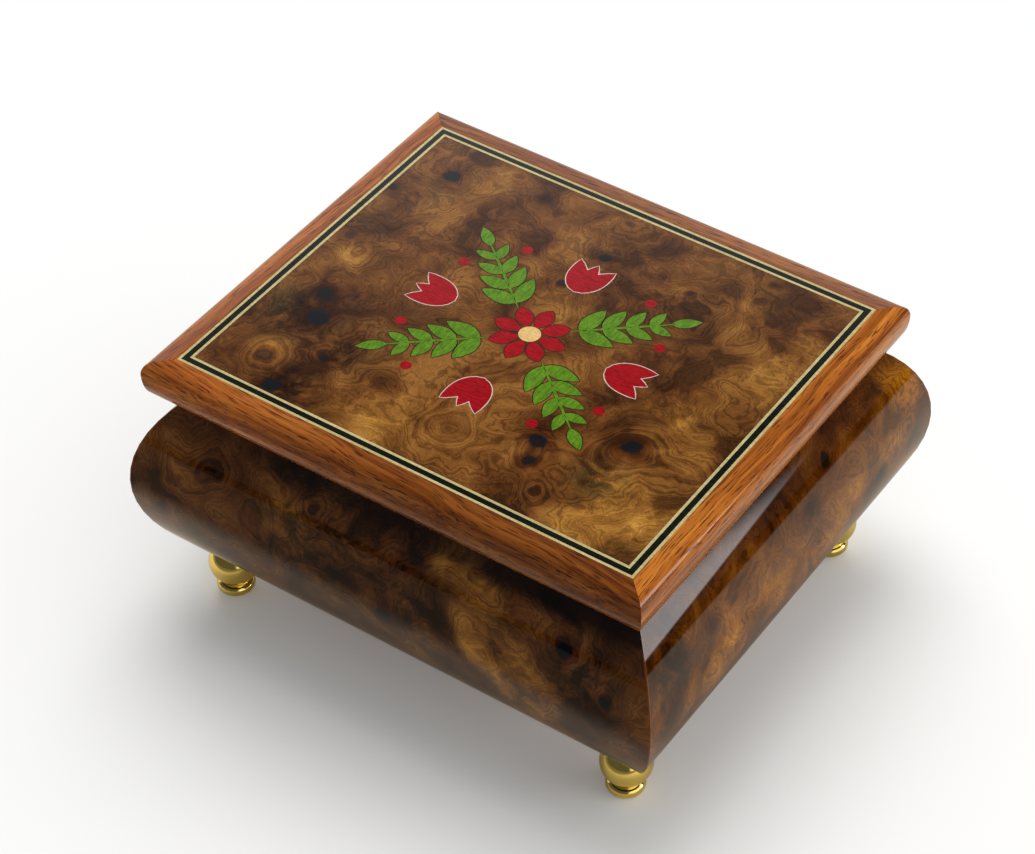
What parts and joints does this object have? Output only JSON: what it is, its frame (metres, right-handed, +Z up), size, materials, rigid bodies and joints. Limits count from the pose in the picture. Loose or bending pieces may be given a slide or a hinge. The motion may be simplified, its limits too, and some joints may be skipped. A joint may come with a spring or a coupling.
{
  "type": "wooden music box",
  "caption": "Swelling wooden jewellery and music box on brass feet, with an overhanging hinged lid, a lined compartment and a wind-up comb and cylinder movement.",
  "frame": {"origin": "on the ground under the centre of the box", "axes": "+X along the long side towards the right end, +Y towards the hinges at the back, +Z up"},
  "size_m": [0.1582, 0.138, 0.0827],
  "materials": {
    "burl_veneer": "high gloss lacquer",
    "rosewood": "high gloss lacquer",
    "plain_wood": "satin",
    "pale_line": "high gloss lacquer",
    "black_line": "high gloss lacquer",
    "velvet": "matte pile",
    "polished_brass": "polished",
    "gear_brass": "satin",
    "cast_zinc": "as cast",
    "steel": "bright",
    "pale_plastic": "moulded",
    "clear_plastic": "clear"
  },
  "bodies": {
    "case": {"front_wall": "burl_veneer", "back_wall": "burl_veneer", "left_wall": "burl_veneer", "right_wall": "burl_veneer", "base_board": "plain_wood", "foot_front_left": "polished_brass", "foot_front_right": "polished_brass", "foot_rear_left": "polished_brass", "foot_rear_right": "polished_brass", "hinge_left_body_leaf": "polished_brass", "hinge_right_body_leaf": "polished_brass", "hinge_left_pin": "polished_brass", "hinge_right_pin": "polished_brass", "divider": "plain_wood", "compartment_lining": "velvet", "movement_cover": "clear_plastic", "cover_ledge_front": "plain_wood", "cover_ledge_back": "plain_wood", "bedplate": "cast_zinc", "comb": "steel", "comb_screw_1": "steel", "comb_screw_2": "steel", "spring_housing": "polished_brass", "mainspring": "steel", "mounting_screw_1": "steel", "mounting_screw_2": "steel", "governor_frame": "gear_brass", "stop_pin": "steel"},
    "lid": {"lid_panel": "burl_veneer", "lid_moulding_front": "rosewood", "lid_moulding_back": "rosewood", "lid_moulding_left": "rosewood", "lid_moulding_right": "rosewood", "stringing_outer": "pale_line", "stringing_black": "black_line", "stringing_inner": "pale_line", "lid_lining": "velvet", "hinge_left_lid_leaf": "polished_brass", "hinge_right_lid_leaf": "polished_brass"},
    "key": {"winding_key": "polished_brass", "winding_arbor": "steel"},
    "great_wheel": {"great_wheel": "gear_brass"},
    "cylinder": {"pinned_cylinder": "gear_brass", "cylinder_arbor": "steel", "cylinder_pinion": "gear_brass", "cylinder_gear": "gear_brass"},
    "governor_wheel": {"governor_arbor": "steel", "governor_wheel": "pale_plastic"},
    "worm": {"worm": "steel", "governor_fan": "pale_plastic"},
    "stop_lever": {"stop_lever": "steel"},
    "start_plunger": {"start_plunger": "polished_brass"}
  },
  "joints": [
    {"name": "lid_hinge", "type": "hinge", "parent": "case", "child": "lid", "pos_m": [0, 0.06035, 0.07265], "axis": [-1, 0, 0], "range_deg": [0, 100]},
    {"name": "key_turn", "type": "hinge", "parent": "case", "child": "key", "pos_m": [-0.04325, -0.009, 0.0163], "axis": [0, 0, 1], "continuous": true},
    {"name": "cylinder_spin", "type": "hinge", "parent": "case", "child": "cylinder", "pos_m": [-0.04325, 0.0041, 0.0323], "axis": [0, 1, 0], "continuous": true},
    {"name": "great_wheel_spin", "type": "hinge", "parent": "case", "child": "great_wheel", "pos_m": [-0.04325, -0.009, 0.0273], "axis": [0, 0, 1], "continuous": true},
    {"name": "governor_wheel_spin", "type": "hinge", "parent": "case", "child": "governor_wheel", "pos_m": [-0.03425, 0.0278, 0.0323], "axis": [0, 1, 0], "continuous": true},
    {"name": "worm_spin", "type": "hinge", "parent": "case", "child": "worm", "pos_m": [-0.02875, 0.0283, 0.0323], "axis": [0, 0, 1], "continuous": true},
    {"name": "plunger_slide", "type": "slide", "parent": "case", "child": "start_plunger", "axis": [0, 0, 1], "range_m": [0, 0.0028]},
    {"name": "stop_lever_swing", "type": "hinge", "parent": "case", "child": "stop_lever", "pos_m": [-0.02875, 0.0347, 0.0414], "axis": [1, 0, 0], "range_deg": [0, 30]}
  ],
  "couplings": [
    {"joint": "great_wheel_spin", "follows": "cylinder_spin", "ratio": 0.33333},
    {"joint": "governor_wheel_spin", "follows": "cylinder_spin", "ratio": -4},
    {"joint": "worm_spin", "follows": "cylinder_spin", "ratio": -96},
    {"joint": "plunger_slide", "follows": "lid_hinge", "m_per_rad": 0.0016},
    {"joint": "stop_lever_swing", "follows": "lid_hinge", "ratio": 0.3}
  ]
}
